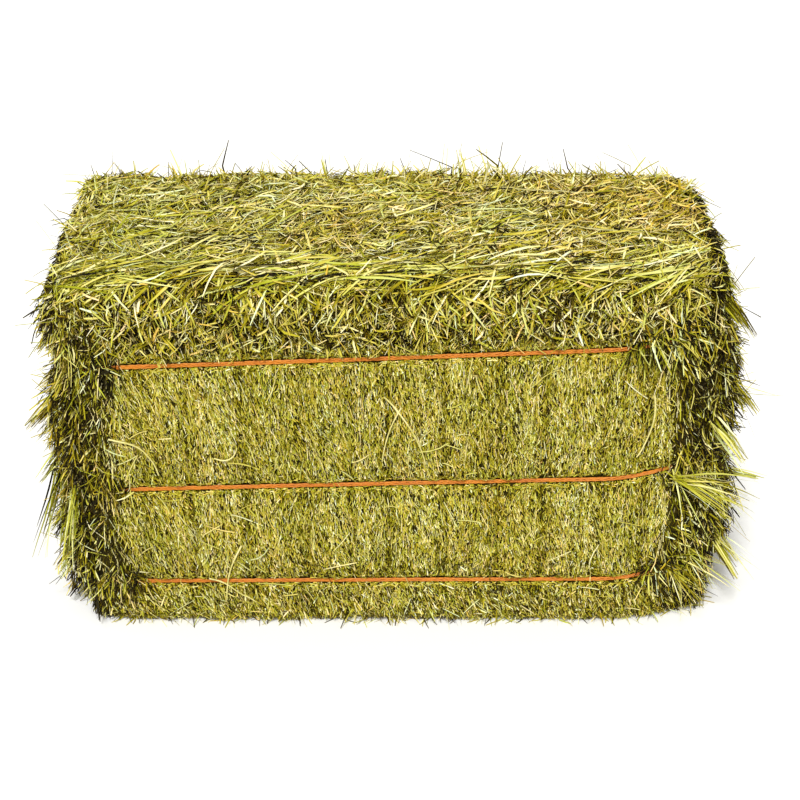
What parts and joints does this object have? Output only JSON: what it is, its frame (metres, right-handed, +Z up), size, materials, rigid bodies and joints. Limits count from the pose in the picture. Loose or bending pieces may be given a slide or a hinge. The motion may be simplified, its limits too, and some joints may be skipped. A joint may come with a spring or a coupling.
{
  "type": "square hay bale",
  "caption": "Oblong bale of pressed hay flakes held by orange twines run lengthwise round its front, ends and back, with tufted ends and loose stems on its faces.",
  "frame": {"origin": "on the ground, under the middle of the bale's box", "axes": "+X along the bale, to the right as seen from the front; +Y to the back, where the knots are; +Z up"},
  "size_m": [1.1224, 0.4406, 0.6093],
  "materials": {
    "hay": "dry pressed hay, yellow green chopped stems and blades, matte",
    "loose_stem": "dry grass stem or blade, pale straw, slightly glossy",
    "twine": "orange fibrillated polypropylene baler twine"
  },
  "bodies": {
    "root": {"flake_01": "hay", "flake_02": "hay", "flake_03": "hay", "flake_04": "hay", "flake_05": "hay", "flake_06": "hay", "flake_07": "hay", "flake_08": "hay", "flake_09": "hay", "flake_10": "hay", "flake_11": "hay", "flake_12": "hay", "flake_13": "hay", "flake_14": "hay", "loose_blade_top_01": "loose_stem", "loose_blade_top_02": "loose_stem", "loose_blade_top_03": "loose_stem", "loose_blade_top_04": "loose_stem", "loose_blade_top_05": "loose_stem", "loose_blade_top_06": "loose_stem", "loose_blade_top_07": "loose_stem", "loose_blade_top_08": "loose_stem", "loose_stem_front_01": "loose_stem", "loose_stem_front_02": "loose_stem", "loose_stem_front_03": "loose_stem", "loose_stem_front_04": "loose_stem", "loose_stem_front_05": "loose_stem", "loose_stem_front_06": "loose_stem", "loose_stem_front_07": "loose_stem", "loose_stem_front_08": "loose_stem", "loose_stem_back_01": "loose_stem", "loose_stem_back_02": "loose_stem", "loose_stem_back_03": "loose_stem", "loose_stem_back_04": "loose_stem", "twine_bottom": "twine", "twine_middle": "twine", "twine_top": "twine"}
  },
  "joints": []
}
